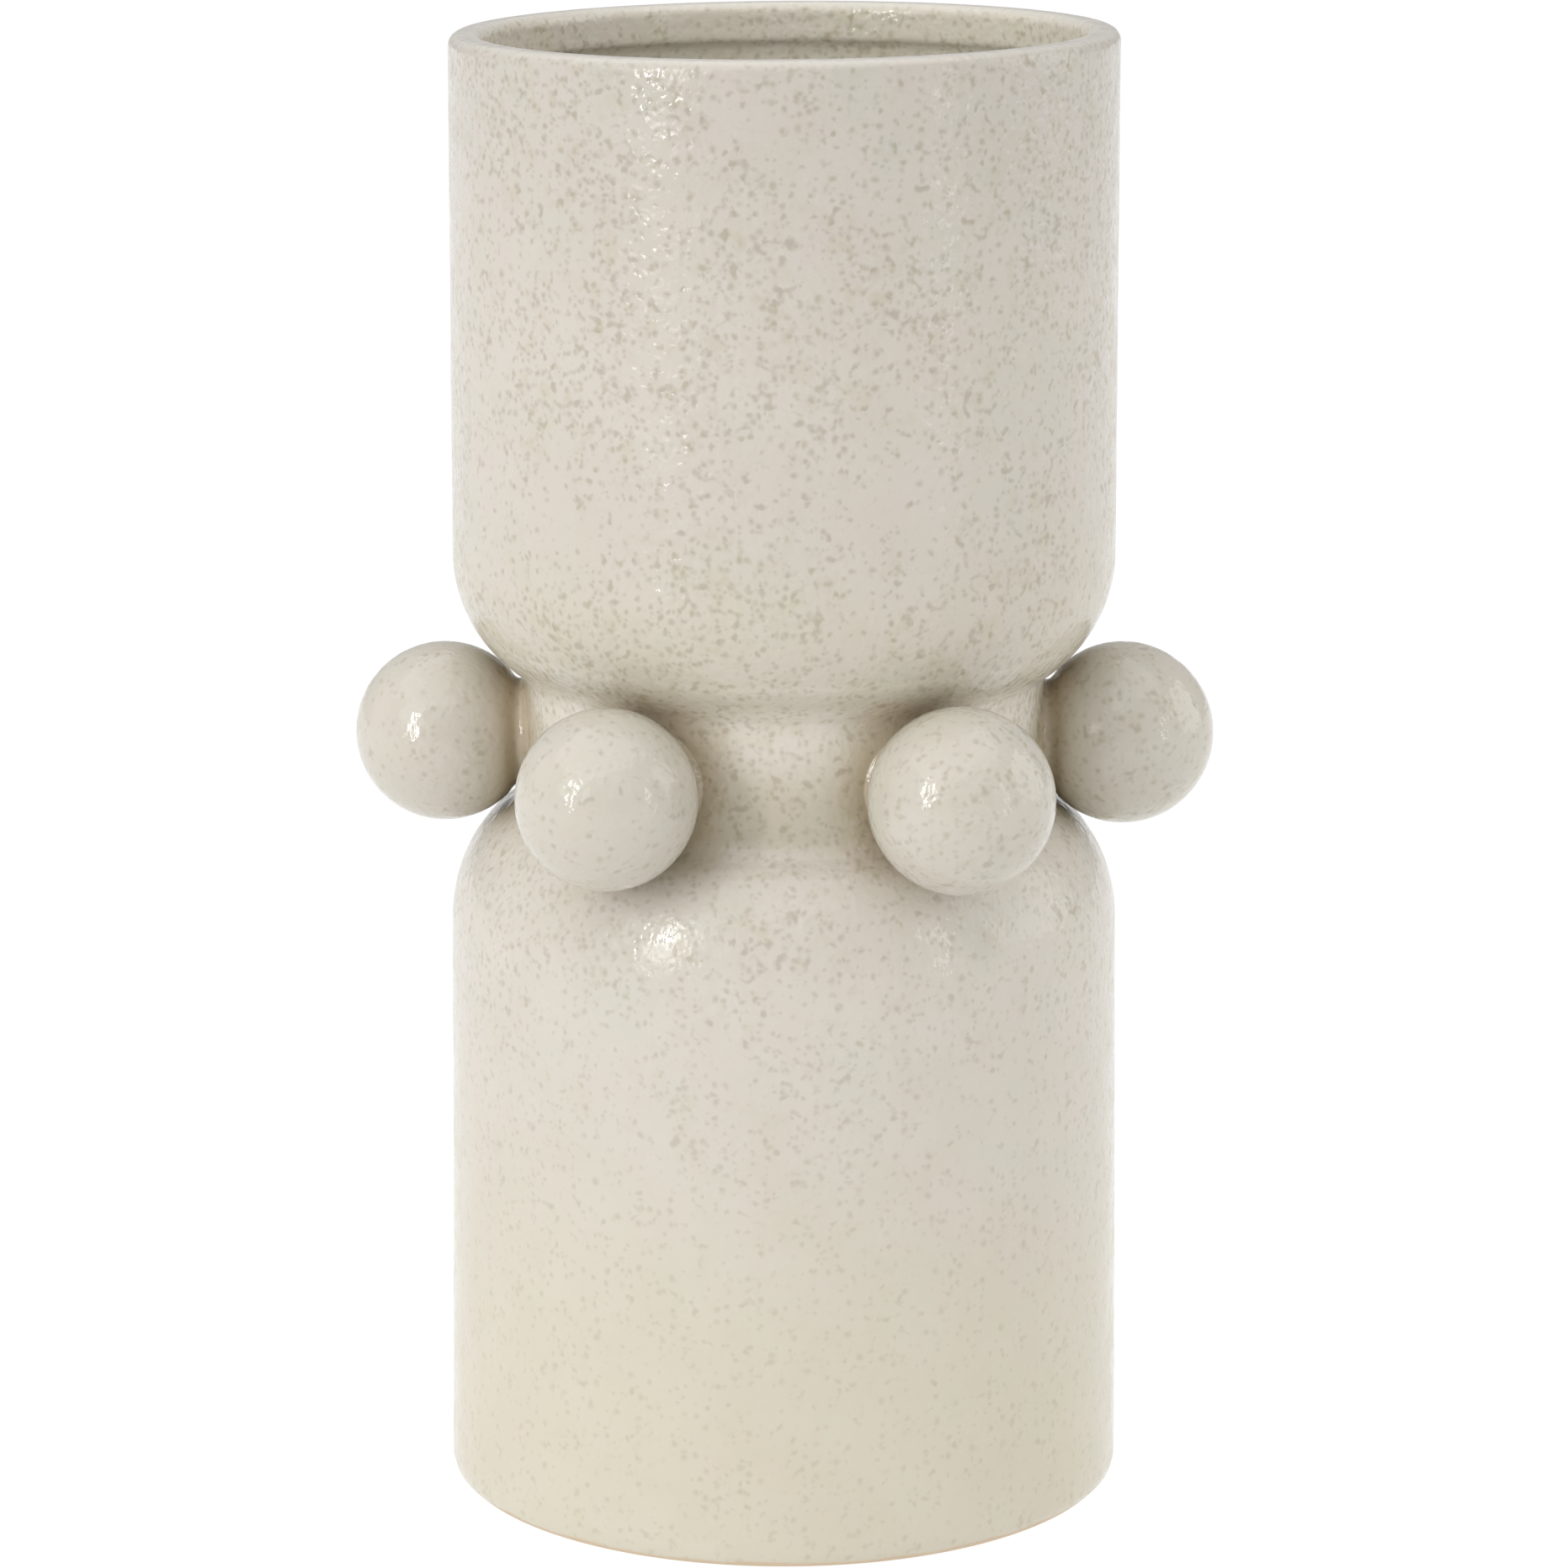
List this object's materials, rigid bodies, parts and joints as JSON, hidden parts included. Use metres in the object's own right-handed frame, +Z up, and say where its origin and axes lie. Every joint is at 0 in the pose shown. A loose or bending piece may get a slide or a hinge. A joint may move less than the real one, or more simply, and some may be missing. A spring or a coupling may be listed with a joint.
{
  "type": "vase",
  "caption": "Tall stoneware vase: a straight cup over a straight lower body, joined by a narrow neck ringed with solid balls; speckled off-white glaze, open at the top.",
  "frame": {"origin": "centre of the foot ring, on the surface that the vase stands on", "axes": "+Z up the vase's own axis, +X towards ball_right, -Y towards the front, between ball_front_left and ball_front_right"},
  "size_m": [0.1759, 0.1572, 0.301],
  "materials": {
    "speckled_glaze": "satin"
  },
  "bodies": {
    "root": {"lower_body": "speckled_glaze", "neck_ring": "speckled_glaze", "upper_cup": "speckled_glaze", "ball_right": "speckled_glaze", "ball_back_right": "speckled_glaze", "ball_back_left": "speckled_glaze", "ball_left": "speckled_glaze", "ball_front_left": "speckled_glaze", "ball_front_right": "speckled_glaze"}
  },
  "joints": []
}
